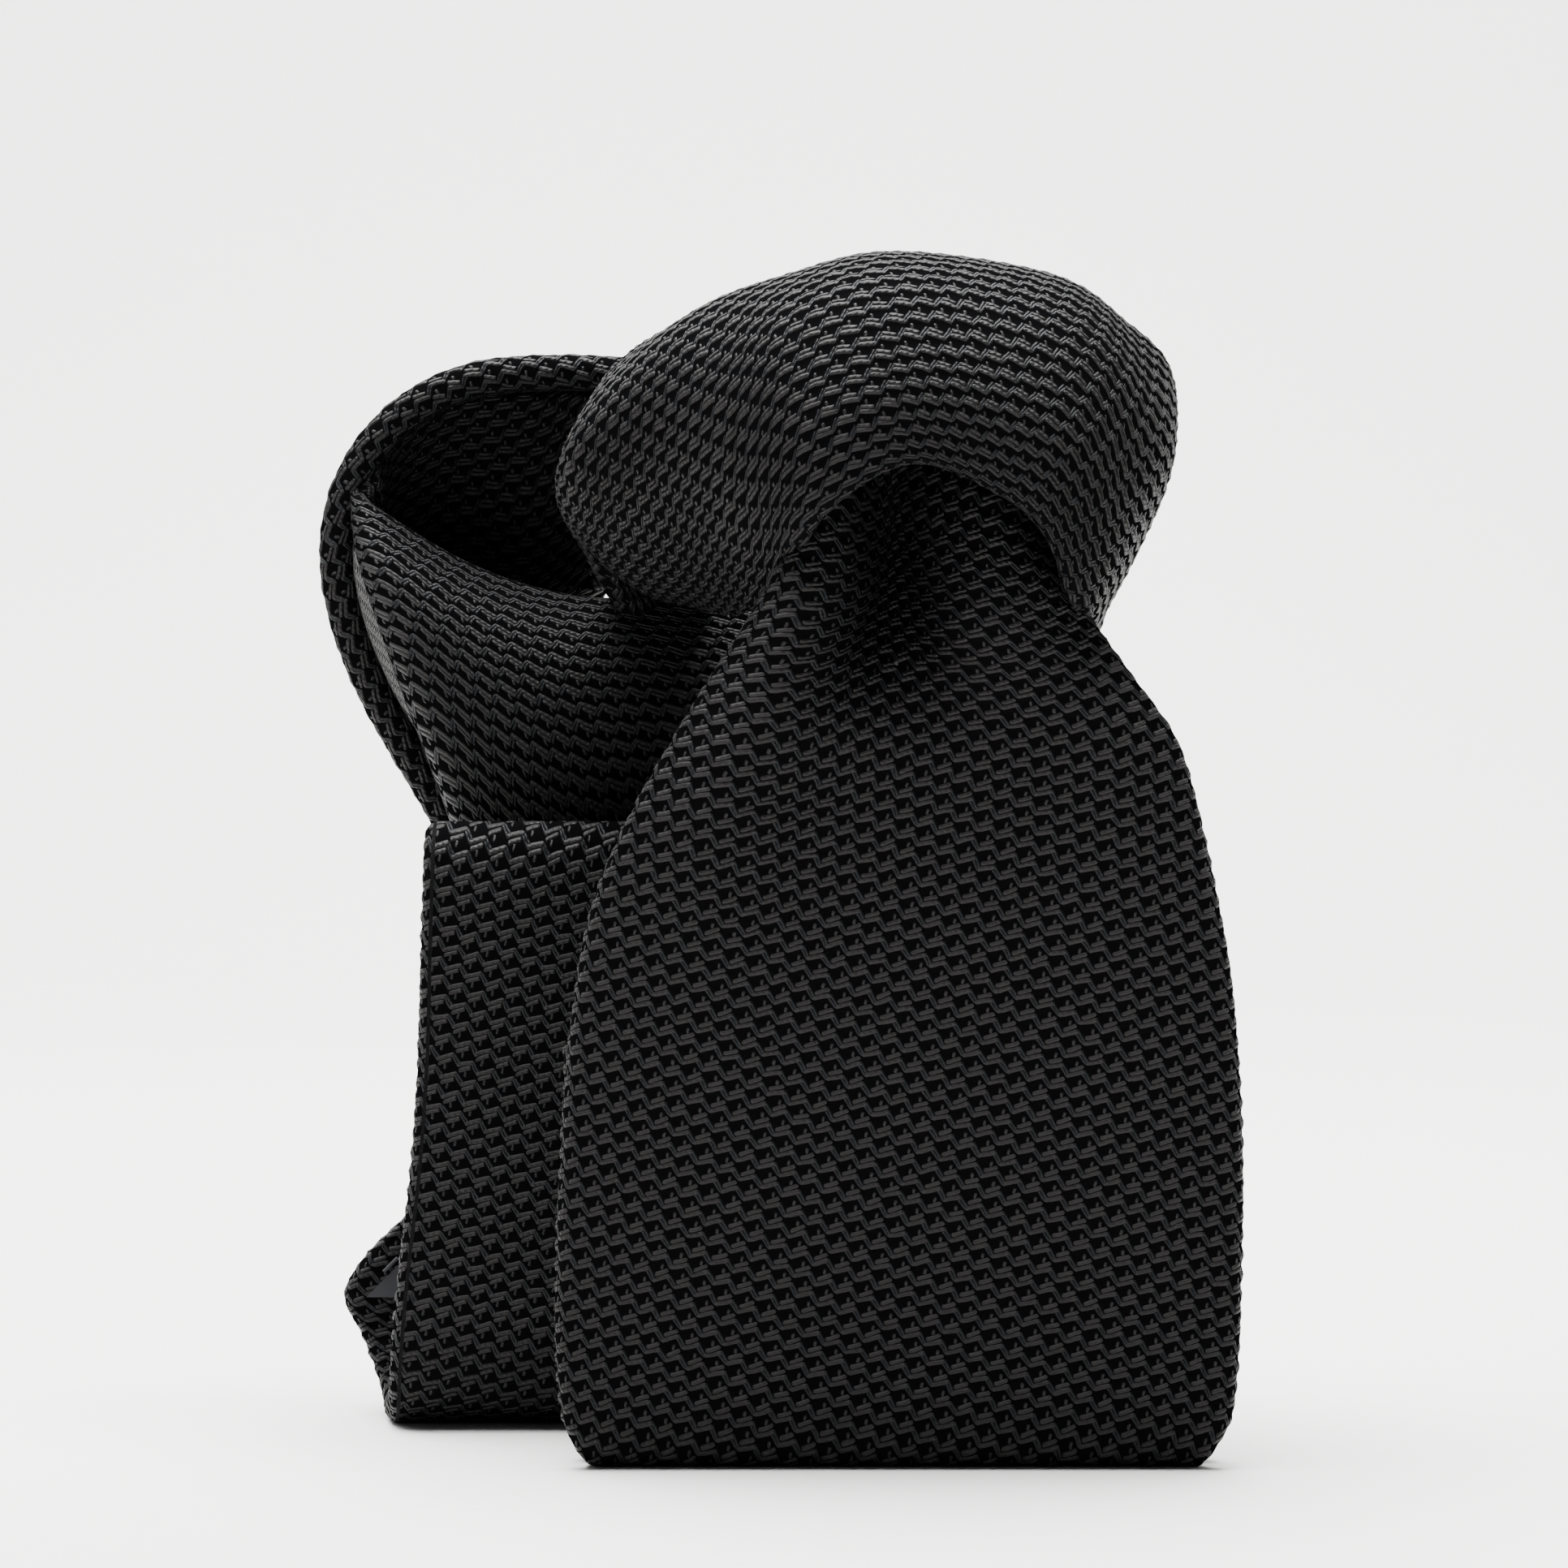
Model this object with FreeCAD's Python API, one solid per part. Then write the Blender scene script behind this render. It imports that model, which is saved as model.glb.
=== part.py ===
import FreeCAD, Part
import os

V = FreeCAD.Vector

# ---------------------------------------------------------------- sizes, mm
blade_width = 79.0         # the wide blade, edge to edge
blade_thick = 3.8          # silk, wool core and silk, pressed flat
tail_width = 38.0          # the narrow blade, edge to edge
tail_thick = 3.6
silk = 0.6                 # one ply of open-weave silk
edge_turn = 1.2            # silk folded round the core at each long edge

flap_gap = 3.0             # between the front panel and the tip folded up behind it
mouth_height = 104.0       # where the front panel goes under the arch
shoulder_height = 48.0     # where the wide tip starts to come to its point
tip_length = blade_width / 2
panel_full_height = 45.0   # the panel keeps its full width up to here
panel_neck = 31.0          # the width left at the mouth
mouth_round = 7.7          # the mouth's front corner, rounded about the hinge line

hinge_y = 8.0              # the line the front panel swings about
hinge_z = 102.0
neck_foot = 111.0          # the neck starts clear of the panel's swing
stand_cut = 0.25           # cloth pressed flat where the tie stands on its folds

pass_gap = 0.5             # between narrow cloth laid up and down behind the panel
pass_low = 2.0
pass_tops = (82.0, 77.5, 73.0, 68.5, 40.0, 40.0)    # one for each pair of passes, front to back
roll_start = 12.4          # the first pass, behind the folded tip
roll_width = 38.0
roll_left = -19.8

tail_face = 30.0           # the tail's front face behind the front panel's
tail_left = -58.5
tail_top = 73.5
tail_tip_shift = 8.5       # the tail's tip lies this much further left
tail_tip_low = 14.5        # where the tail starts to come to its point
tail_tip_length = tail_width / 2
tail_back = 48.0

near_band = 44.8           # the loop's near side, behind the tail
loop_far = 62.0            # the loop's far side
loop_reach = -54.2         # the loop's left turn, half way up the band
loop_width = 50.0
arch_width = 38.0
arch_height = 127.7        # the middle of the arch's band at its top
ply_front = 53.0
ply_width = 22.0
ribbon_steps = 2           # facets between two stations of a band

tipping_thick = 0.25
tipping_inset = 4.0
label_thick = 0.3
thread = 0.45              # sewing thread, doubled
stitch_length = 5.0
stitch_pitch = 8.0
stitch_across = 2.0        # a stitch drawn across the slit
hem_stitch = 2.4

keeper_length = 56.0
keeper_height = 10.0
keeper_ply = 0.5
keeper_room = 0.6
keeper_z = 62.0

brand_w = 34.0
brand_h = 16.0
brand_z = 40.0
care_w = 15.0
care_h = 20.0
care_z = 40.0

tack_w = 7.0
tack_h = 1.2
tack_z = 14.0


# ---------------------------------------------------------------- helpers
def box(x, y, z, dx, dy, dz):
    """A box from its low corner and its three lengths."""
    return Part.makeBox(dx, dy, dz, V(x, y, z))


def polygon(points):
    """A flat face in XZ from its corners."""
    corners = [V(x, 0, z) for x, z in points]
    return Part.Face(Part.makePolygon(corners + corners[:1]))


def through_y(face, y, depth):
    """Carries a face in XZ straight back from y."""
    solid = face.extrude(V(0, depth, 0))
    solid.translate(V(0, y, 0))
    return solid


def pressed(shape):
    """Takes a thin slice off the lowest fold, where the cloth lies flat on the table."""
    return shape.cut(box(-200, -200, stand_cut - 20, 400, 400, 20))


def turn(x, width, y, z, inner, outer, upward):
    """A half ring about a line along X: the fold between two passes."""
    ring = Part.makeCylinder(outer, width, V(x, y, z), V(1, 0, 0))
    ring = ring.cut(Part.makeCylinder(inner, width + 2, V(x - 1, y, z), V(1, 0, 0)))
    low = z if upward else z - outer - 1
    return ring.common(box(x - 1, y - outer - 1, low, width + 2, 2 * outer + 2, outer + 1))


def front_silk(half, thick):
    """The front of the silk's section: a channel that wraps round both long edges of the core."""
    inner, skin = half - edge_turn, thick / 2 - silk
    return [
        (half, -thick / 2), (half, thick / 2), (inner, thick / 2), (inner, skin), (inner, -skin),
        (-inner, -skin), (-inner, skin), (-inner, thick / 2), (-half, thick / 2), (-half, -thick / 2),
    ]


def back_silk(half, thick):
    """The back of the silk's section, which closes the channel."""
    inner, skin = half - edge_turn, thick / 2 - silk
    return [(inner, thick / 2), (inner, skin), (-inner, skin), (-inner, thick / 2)]


def core_section(half, thick):
    """The wool core's section, inside the silk."""
    inner, skin = half - edge_turn, thick / 2 - silk
    return [(inner, skin), (-inner, skin), (-inner, -skin), (inner, -skin)]


def band_frames(stations):
    """Points along a band: middle, direction along, across and out of its back, and width."""
    path = Part.BSplineCurve()
    path.interpolate([V(*centre) for centre, across, width in stations])
    at = [path.parameter(V(*centre)) for centre, across, width in stations]
    frames = []
    for k in range((len(stations) - 1) * ribbon_steps + 1):
        i = min(k // ribbon_steps, len(stations) - 2)
        f = k / ribbon_steps - i
        u = at[i] * (1 - f) + at[i + 1] * f
        along = path.tangent(u)[0]
        across = V(*stations[i][1]).normalize() * (1 - f) + V(*stations[i + 1][1]).normalize() * f
        across = across.normalize()
        width = stations[i][2] * (1 - f) + stations[i + 1][2] * f
        frames.append((path.value(u), along, across, along.cross(across).normalize(), width))
    return frames


def facet(corners):
    """A flat face from its corners."""
    return Part.Face(Part.makePolygon(corners + corners[:1]))


def ribbon(stations, thick, section):
    """A band of one section through its stations, in flat facets that touching bands share."""
    rings = []
    for middle, along, across, back, width in band_frames(stations):
        outline = section(width / 2, thick)
        rings.append([middle + across * a + back * b for a, b in outline])
    faces = [facet(rings[0]), facet(rings[-1])]
    for ring, after in zip(rings, rings[1:]):
        for k in range(len(ring)):
            m = (k + 1) % len(ring)
            if outline[k] < outline[m]:
                faces.append(facet([ring[k], ring[m], after[m]]))
                faces.append(facet([ring[k], after[m], after[k]]))
            else:
                faces.append(facet([ring[k], ring[m], after[k]]))
                faces.append(facet([ring[m], after[m], after[k]]))
    shell = Part.makeShell(faces)
    shell.sewShape()
    solid = Part.makeSolid(shell)
    if solid.Volume < 0:
        solid.reverse()
    return solid


def silk_band(stations, thick):
    """The silk of a band: the front, wrapped round both edges, and the back."""
    return Part.makeCompound([ribbon(stations, thick, half) for half in (front_silk, back_silk)])


def band_stitches(stations, thick, first, last):
    """Stitches across the slit along a band's back, one to each section between two stations."""
    made = []
    for k, (middle, along, across, back, width) in enumerate(band_frames(stations)):
        if first * ribbon_steps <= k <= last * ribbon_steps:
            at = middle + back * (thick / 2 + thread / 2 + 0.05) - across * (stitch_across / 2)
            made.append(Part.makeCylinder(thread / 2, stitch_across, at, across))
    return Part.makeCompound(made)


def stitches(x, y, low, high, skip=()):
    """A run of short stitches up a seam, left out wherever something lies on it."""
    made = []
    z = low
    while z + stitch_length <= high:
        if not any(z < b and z + stitch_length > a for a, b in skip):
            made.append(Part.makeCylinder(thread / 2, stitch_length, V(x, y, z), V(0, 0, 1)))
        z += stitch_pitch
    return Part.makeCompound(made)


# ---------------------------------------------------------------- front panel and its folded tip
def flap_layers(inset, skin):
    """The panel and the tip behind it as one band folded at the foot."""
    half = blade_width / 2
    depth = 2 * blade_thick + flap_gap
    outer = depth / 2 - skin
    inner = flap_gap / 2 + skin
    middle = depth / 2
    thick = outer - inner
    reach = mouth_height + tip_length + 20
    fold = turn(-half, 2 * half, middle, depth / 2, inner, outer, False)
    front = box(-half, middle - outer, depth / 2, 2 * half, thick, reach)
    back = box(-half, middle + inner, depth / 2, 2 * half, thick, reach)
    neck = panel_neck / 2
    side = (half - neck) / 12.0
    right_side = [
        (half - 2.5, 0),
        (half, 6.0),
        (half, panel_full_height * 0.5),
        (half - side * 0.3, panel_full_height),
        (half - side * 2.2, mouth_height * 0.64),
        (half - side * 5.0, mouth_height * 0.78),
        (half - side * 8.6, mouth_height * 0.9),
        (neck, mouth_height),
    ]
    panel = polygon(right_side + [(-x, z) for x, z in reversed(right_side)])
    tip = polygon([
        (-half + 2.5, 0), (half - 2.5, 0), (half, 6.0), (half, shoulder_height),
        (0, shoulder_height + tip_length), (-half, shoulder_height), (-half, 6.0),
    ])
    if inset:
        panel = panel.makeOffset2D(-inset)
        tip = tip.makeOffset2D(-inset)
    panel_part = front.fuse(fold).common(through_y(panel, middle - depth, depth))
    tip_part = back.fuse(fold).common(through_y(tip, middle, depth))
    return panel_part.fuse(tip_part).removeSplitter()


flap_depth = 2 * blade_thick + flap_gap
corner = box(-panel_neck, hinge_y - mouth_height, hinge_z, 2 * panel_neck, mouth_height, 10.0)
corner = corner.cut(Part.makeCylinder(mouth_round, 3 * panel_neck, V(-1.5 * panel_neck, hinge_y, hinge_z),
                                      V(1, 0, 0)))
flap_outer = flap_layers(0.0, 0.0)
flap_core = flap_layers(edge_turn, silk)
panel_back = blade_thick
tip_inside = blade_thick + flap_gap

nodes = {}
nodes["front_blade_shell"] = pressed(flap_outer.cut(flap_core).cut(corner))
nodes["front_blade_interlining"] = flap_core

tipping_half = blade_width / 2 - tipping_inset
tipping_low = shoulder_height - 12.0
tipping_face = polygon([
    (-tipping_half, tipping_low), (tipping_half, tipping_low), (tipping_half, shoulder_height),
    (0, shoulder_height + tipping_half), (-tipping_half, shoulder_height),
])
nodes["front_tipping"] = through_y(tipping_face, tip_inside - tipping_thick, tipping_thick)

hem = []
for side in (-1, 1):
    for k in range(6):
        step = (k + 0.5) / 6.0
        x = side * tipping_half * (1 - step)
        z = shoulder_height + tipping_half * step
        start = V(x + side * 0.5, tip_inside - tipping_thick - thread / 2, z + 0.5)
        hem.append(Part.makeCylinder(thread / 2, hem_stitch, start, V(-side, 0, 1)))
nodes["front_tipping_stitches"] = Part.makeCompound(hem)

keeper_deep = 2 * keeper_ply + keeper_room
keeper = box(-keeper_length / 2, panel_back, keeper_z, keeper_length, keeper_deep, keeper_height)
keeper = keeper.cut(box(-keeper_length / 2 + keeper_ply, panel_back + keeper_ply, keeper_z - 1,
                        keeper_length - 2 * keeper_ply, keeper_room, keeper_height + 2))
nodes["keeper_loop"] = keeper

keeper_tacks = []
for side in (-1, 1):
    for k in range(3):
        x = side * (keeper_length / 2 + thread / 2)
        z = keeper_z + 1.5 + k * (keeper_height - 3.0) / 2
        keeper_tacks.append(Part.makeCylinder(thread / 2, keeper_deep, V(x, panel_back, z), V(0, 1, 0)))
nodes["keeper_stitches"] = Part.makeCompound(keeper_tacks)

nodes["brand_label"] = box(-brand_w / 2, panel_back, brand_z, brand_w, label_thick, brand_h)
care_face = tip_inside - tipping_thick - label_thick
nodes["care_label"] = box(-care_w / 2, care_face, care_z, care_w, label_thick, care_h)

label_tacks = []
for side in (-1, 1):
    for share in (0.15, 0.85):
        start = V(side * (brand_w / 2 - 1.0) - 1.0, panel_back + label_thick + thread / 2,
                  brand_z + share * brand_h)
        label_tacks.append(Part.makeCylinder(thread / 2, 2.0, start, V(1, 0, 0)))
start = V(-care_w / 2 + 1.5, care_face - thread / 2, care_z + care_h - 1.5)
label_tacks.append(Part.makeCylinder(thread / 2, care_w - 3.0, start, V(1, 0, 0)))
nodes["label_stitches"] = Part.makeCompound(label_tacks)

nodes["front_bar_tack"] = box(-tack_w / 2, tip_inside - 0.8, tack_z, tack_w, 0.8, tack_h)
nodes["front_slip_stitches"] = stitches(0.0, panel_back + thread / 2, 8.0, mouth_height - 6.0,
                                        [(brand_z - 0.5, brand_z + brand_h + 0.5),
                                         (keeper_z - 0.5, keeper_z + keeper_height + 0.5)])

# ---------------------------------------------------------------- neck: loop at the left, arch over the top
neck_stations = [
    ((1.0, 2.2, neck_foot), (1, 0, 0), 28.0),
    ((0.9, 3.6, 116.0), (1, 0, 0), 28.0),
    ((0.5, 7.0, 120.0), (1, 0, 0), 27.0),
    ((-1.0, 18.0, 122.3), (1, 0, 0), 26.0),
    ((-6.0, 33.0, 121.0), (0.85, 0.3, 0.4), 24.0),
    ((-20.0, 50.0, 113.0), (0.35, 0.1, 0.93), 20.0),
    ((-34.0, loop_far - 1.5, 112.0), (0, 0.05, 1), 22.0),
    ((-45.0, loop_far, 106.0), (-0.03, 0, 1), 36.0),
    ((-53.0, loop_far - 1.5, 100.0), (-0.12, 0, 1), 41.0),
    ((-54.0, loop_far - 6.0, 95.0), (-0.267, 0, 0.964), 38.0),
    ((loop_reach, loop_far - 11.2, 88.5), (-0.313, 0, 0.95), 46.0),
    ((-52.6, near_band + 1.2, 84.0), (-0.268, 0, 0.964), loop_width),
    ((-44.5, near_band, 78.5), (-0.17, 0, 0.98), loop_width),
    ((-27.0, near_band + 2.2, 74.0), (-0.08, 0, 1), loop_width),
    ((-13.0, near_band + 5.7, 72.0), (0, 0, 1), loop_width),
    ((0.0, near_band + 7.2, 72.0), (0, 0, 1), loop_width),
    ((11.0, near_band + 6.7, 76.0), (0.1, 0, 1), 45.0),
    ((20.0, near_band + 2.2, 89.0), (0.27, 0.15, 0.95), 38.0),
    ((23.8, 37.0, 98.5), (0.3, 0.34, 0.89), arch_width),
    ((26.8, 27.0, 107.5), (0.28, 0.55, 0.78), arch_width),
    ((27.6, 18.0, 113.5), (0.18, 0.68, 0.71), arch_width),
    ((23.5, 13.0, 119.5), (0.08, 0.74, 0.67), arch_width),
    ((14.0, 9.2, 125.6), (0.03, 0.745, 0.667), arch_width),
    ((0.0, 8.0, arch_height), (0, 0.745, 0.667), arch_width),
    ((-13.0, 11.0, 124.8), (-0.12, 0.65, 0.75), 33.0),
    ((-22.0, 17.5, 120.0), (-0.26, 0.3, 0.92), 24.0),
    ((-28.0, 25.0, 115.0), (-0.3, 0, 0.95), 25.0),
    ((-30.5, 32.0, 112.0), (-0.3, -0.25, 0.92), 26.0),
]
nodes["neck_band_shell"] = silk_band(neck_stations, blade_thick)
nodes["neck_band_interlining"] = ribbon(neck_stations, blade_thick, core_section)
nodes["neck_slip_stitches"] = band_stitches(neck_stations, blade_thick, 6, 9)

# the second ply of the loop: a strip bent over the first, outside it
ply_curve = [
    (-24.0, 126.6), (-32.5, 127.6), (-41.0, 128.0), (-50.0, 127.4), (-57.5, 124.6), (-63.5, 119.6),
    (-67.3, 112.8), (-68.5, 105.0), (-67.2, 97.0), (-64.0, 89.0), (-59.6, 81.4), (-54.8, 73.6),
    (-50.5, 64.0), (-47.0, 53.0), (-45.0, 41.0),
]
ply_stations = [((x, ply_front + ply_width / 2, z), (0, 1, 0), ply_width) for x, z in ply_curve]

# ---------------------------------------------------------------- the narrow cloth behind the panel
def laid_passes(thick, inset):
    """Narrow cloth laid up and down, turned over at the top and the foot."""
    x, width = roll_left + inset, roll_width - 2 * inset
    inner, outer = (roll_pitch - thick) / 2, (roll_pitch + thick) / 2
    low = pass_low + roll_pitch
    made = []
    for k in range(pass_count):
        y = roll_start + k * roll_pitch + tail_thick / 2
        high = pass_tops[k // 2] - roll_pitch
        made.append(box(x, y - thick / 2, low, width, thick, high - low))
        if k % 2 == 0:
            made.append(turn(x, width, y + roll_pitch / 2, high, inner, outer, True))
        elif k + 1 < pass_count:
            made.append(turn(x, width, y + roll_pitch / 2, low, inner, outer, False))
    return made[0].fuse(made[1:]).removeSplitter()


roll_pitch = tail_thick + pass_gap
pass_count = 2 * len(pass_tops)
roll_outer = laid_passes(tail_thick, 0.0)
roll_core = laid_passes(tail_thick - 2 * silk, edge_turn)
ply_silk = silk_band(ply_stations, tail_thick)
ply_core = ribbon(ply_stations, tail_thick, core_section)
nodes["gusset_shell"] = Part.makeCompound([roll_outer.cut(roll_core), ply_silk])
nodes["gusset_interlining"] = Part.makeCompound([roll_core, ply_core])


# ---------------------------------------------------------------- the tail, round the foot to its point
def tail_layers(inset, skin):
    """The last stretch of the narrow blade, folded over at the top and round the foot."""
    thick = tail_thick - 2 * skin
    x, width = tail_left + inset, tail_width - 2 * inset
    front = tail_face + tail_thick / 2
    fold_radius = (tail_thick + 0.6) / 2
    foot_radius = (tail_back - tail_face) / 2
    foot_y = front + foot_radius
    top = tail_top - fold_radius - tail_thick / 2
    foot = foot_radius + tail_thick / 2
    made = box(x, front - thick / 2, foot, width, thick, top - foot)
    made = made.fuse(turn(x, width, front + fold_radius, top, fold_radius - thick / 2,
                          fold_radius + thick / 2, True))
    made = made.fuse(box(x, front + 2 * fold_radius - thick / 2, top - 28.0, width, thick, 28.0))
    made = made.fuse(turn(x, width, foot_y, foot, foot_radius - thick / 2, foot_radius + thick / 2, False))
    far = x + width
    tip = (x + width / 2 - tail_tip_shift, tail_tip_low + tail_tip_length - inset * 1.4)
    end = polygon([
        (x, foot), (far, foot), (far - tail_tip_shift, tail_tip_low), tip,
        (x - tail_tip_shift, tail_tip_low),
    ])
    made = made.fuse(through_y(end, foot_y + foot_radius - thick / 2, thick))
    return made.removeSplitter()


tail_outer = tail_layers(0.0, 0.0)
tail_core = tail_layers(edge_turn, silk)
nodes["tail_blade_shell"] = pressed(tail_outer.cut(tail_core))
nodes["tail_blade_interlining"] = tail_core


tail_middle = tail_left + tail_width / 2
tail_back_face = tail_face + tail_thick
tip_middle = tail_middle - tail_tip_shift
tail_tipping_half = tail_width / 2 - 3.0
tail_tipping_face = polygon([
    (tip_middle - tail_tipping_half, tail_tip_low), (tip_middle + tail_tipping_half, tail_tip_low),
    (tip_middle, tail_tip_low + tail_tipping_half),
])
nodes["tail_tipping"] = through_y(tail_tipping_face, tail_back - tipping_thick, tipping_thick)
tail_hem = []
for side in (-1, 1):
    for k in range(3):
        step = (k + 0.5) / 3.0
        start = V(tip_middle + side * (tail_tipping_half * (1 - step) + 0.5),
                  tail_back - tipping_thick - thread / 2, tail_tip_low + tail_tipping_half * step + 0.5)
        tail_hem.append(Part.makeCylinder(thread / 2, hem_stitch, start, V(-side, 0, 1)))
nodes["tail_tipping_stitches"] = Part.makeCompound(tail_hem)
nodes["tail_bar_tack"] = box(tail_middle - 3.0, tail_back_face, 16.0, 6.0, 0.8, tack_h)
nodes["tail_slip_stitches"] = stitches(tail_middle, tail_back_face + thread / 2, 20.0, 40.0)

# seams where the blade, neck and tail pieces of the silk are joined on the bias
seam_y = roll_start + pass_count * roll_pitch - pass_gap + thread / 2
gusset_seam = []
for k in range(7):
    start = V(roll_left + 5.0 + k * 4.0, seam_y, 7.0 + k * 4.0)
    gusset_seam.append(Part.makeCylinder(thread / 2, 2.6, start, V(1, 0, 1)))
nodes["gusset_seam_thread"] = Part.makeCompound(gusset_seam)
seam_y = tail_back_face + 0.6 + tail_thick + thread / 2
tail_seam = []
for k in range(6):
    start = V(tail_left + 8.0 + k * 3.6, seam_y, 46.0 + k * 3.6)
    tail_seam.append(Part.makeCylinder(thread / 2, hem_stitch, start, V(1, 0, 1)))
nodes["tail_seam_thread"] = Part.makeCompound(tail_seam)

# ---------------------------------------------------------------- origin: bottom middle of the whole
whole = Part.makeCompound(list(nodes.values())).BoundBox
shift = V(-(whole.XMin + whole.XMax) / 2, -(whole.YMin + whole.YMax) / 2, -whole.ZMin)
print("moved by", shift, "hinge at", V(0, hinge_y, hinge_z) + shift)

os.makedirs("parts", exist_ok=True)
for name, shape in nodes.items():
    shape.translate(shift)
    shape.exportStep("parts/" + name + ".step")
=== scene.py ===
"""A grenadine silk necktie, rolled and standing on its folded edges."""

import logging
import math
from dataclasses import dataclass, field
from enum import Enum
from typing import Sequence

import bpy
import numpy as np
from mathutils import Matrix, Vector


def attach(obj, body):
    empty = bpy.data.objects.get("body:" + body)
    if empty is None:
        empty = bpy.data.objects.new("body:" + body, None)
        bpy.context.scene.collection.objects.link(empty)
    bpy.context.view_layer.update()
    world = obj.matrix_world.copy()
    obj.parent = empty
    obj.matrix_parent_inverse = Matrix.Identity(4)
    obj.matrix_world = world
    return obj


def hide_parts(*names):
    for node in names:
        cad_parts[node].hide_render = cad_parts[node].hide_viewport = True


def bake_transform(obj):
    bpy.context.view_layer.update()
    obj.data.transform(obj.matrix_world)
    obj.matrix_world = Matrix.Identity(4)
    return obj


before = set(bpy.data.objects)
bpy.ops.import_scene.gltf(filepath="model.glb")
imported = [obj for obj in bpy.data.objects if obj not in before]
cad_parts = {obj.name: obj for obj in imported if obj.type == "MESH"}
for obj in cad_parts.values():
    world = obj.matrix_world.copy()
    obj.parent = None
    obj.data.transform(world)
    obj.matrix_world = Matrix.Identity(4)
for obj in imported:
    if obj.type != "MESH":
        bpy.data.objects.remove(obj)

log = logging.getLogger("necktie")

MM = 0.001
PANEL_ORIGIN = (15.4, -33.79, -0.25)  # the panel's middle in the shared frame, mm
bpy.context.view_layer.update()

COLUMNS = 65         # points across a band's middle surface
MIDDLE = 32          # the column down a band's middle
MEASURE_STEPS = 12   # steps from one row of a net to the next, when its length is measured
FEWEST_ROWS = 4
TINY = 1e-9          # keeps a length from being divided by zero

FOLD = 0.8           # how far a band's folded edge stands out, in half thicknesses
TURN_POINTS = 11     # points round a folded edge, ends included
FEWEST_ACROSS = 8
TAPER_RATE = 2.2     # how soon a band thins where it comes to a point
TAPER_LEAST = 0.15
RELIEF_FROM = -0.2   # the relief starts this far below the middle, in thicknesses


class Plane(Enum):
    """Which way the weave's rows run on a band."""

    ACROSS = "across"
    ALONG = "along"


# ---------------------------------------------------------------- surfaces
def catmull(values: np.ndarray, t: np.ndarray) -> np.ndarray:
    """Cubic interpolation through evenly numbered values.

    Args:
        values: Control values along the first axis.
        t: Positions from 0 to len(values) - 1.

    Returns:
        The interpolated values, one for each position.
    """
    n = len(values)
    padded = np.concatenate([[2 * values[0] - values[1]], values, [2 * values[-1] - values[-2]]])
    i = np.clip(np.floor(t).astype(int), 0, n - 2)
    f = (t - i).reshape((-1,) + (1,) * (values.ndim - 1))
    a, b, c, d = (padded[i + k] for k in range(4))
    return 0.5 * (2 * b + (c - a) * f + (2 * a - 5 * b + 4 * c - d) * f**2 + (3 * b - a - 3 * c + d) * f**3)


@dataclass
class Grid:
    """A band's middle surface as a dense grid of points."""

    points: np.ndarray

    @classmethod
    def through(cls, rows: Sequence[Sequence[tuple]], step: float) -> "Grid":
        """Fills a net of control points.

        Args:
            rows: Rows along the band, each with the same number of points across it, in mm.
            step: Distance between two rows of the result, in mm.

        Returns:
            The grid, with rows about a step apart.
        """
        net = np.array(rows, float)
        last = len(net) - 1
        coarse = catmull(net, np.linspace(0, last, MEASURE_STEPS * last + 1))
        middle = coarse[:, coarse.shape[1] // 2]
        along = np.concatenate([[0], np.cumsum(np.linalg.norm(np.diff(middle, axis=0), axis=1))])
        count = max(FEWEST_ROWS, int(along[-1] / step))
        even = np.interp(np.linspace(0, along[-1], count), along, np.linspace(0, last, len(along)))
        dense = catmull(net, even)
        across = np.linspace(0, net.shape[1] - 1, COLUMNS)
        return cls(catmull(dense.transpose(1, 0, 2), across).transpose(1, 0, 2))

    def normals(self) -> np.ndarray:
        """Unit normals, towards the face of the cloth."""
        along = np.gradient(self.points, axis=0)
        across = np.gradient(self.points, axis=1)
        n = np.cross(across, along)
        n /= np.maximum(np.linalg.norm(n, axis=2, keepdims=True), TINY)
        for _ in range(2):
            n[1:-1] = (n[:-2] + 2 * n[1:-1] + n[2:]) / 4
        return n / np.maximum(np.linalg.norm(n, axis=2, keepdims=True), TINY)

    def spans(self) -> np.ndarray:
        """Distance across the band from its middle, at each point."""
        d = np.linalg.norm(np.diff(self.points, axis=1), axis=2)
        s = np.concatenate([np.zeros((len(d), 1)), np.cumsum(d, axis=1)], axis=1)
        return s - s[:, s.shape[1] // 2][:, None]

    def lengths(self, column: int) -> np.ndarray:
        """Distance along one column of the band.

        Args:
            column: The column, from 0 at the band's left edge.

        Returns:
            The distance of each row from the first, in mm.
        """
        line = self.points[:, column]
        return np.concatenate([[0], np.cumsum(np.linalg.norm(np.diff(line, axis=0), axis=1))])


@dataclass(frozen=True)
class Swell:
    """A rounded rise in the weave's cell, in mm."""

    x: float
    y: float
    wide: float
    tall: float

    def height(self, x: np.ndarray, y: np.ndarray) -> np.ndarray:
        """The rise at each place, from 0 far away to 1 on top.

        Args:
            x: Place along the rows, from the cell's middle.
            y: Place up the cloth, from the cell's middle.

        Returns:
            The rise at each place.
        """
        return np.exp(-(((x - self.x) / self.wide) ** 2 + ((y - self.y) / self.tall) ** 2))


EYE_SWELL = Swell(0.0, 0.0, 0.95, 0.68)
STEEP_SWELLS = (Swell(-1.2, 0.1, 0.4, 0.8), Swell(1.21, -0.83, 0.4, 0.8))
STEEP_SHARE = 0.55   # the steep yarns' rise, against the eye's
SUNK = 0.35          # how far the gaps lie below the band's plain face


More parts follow.
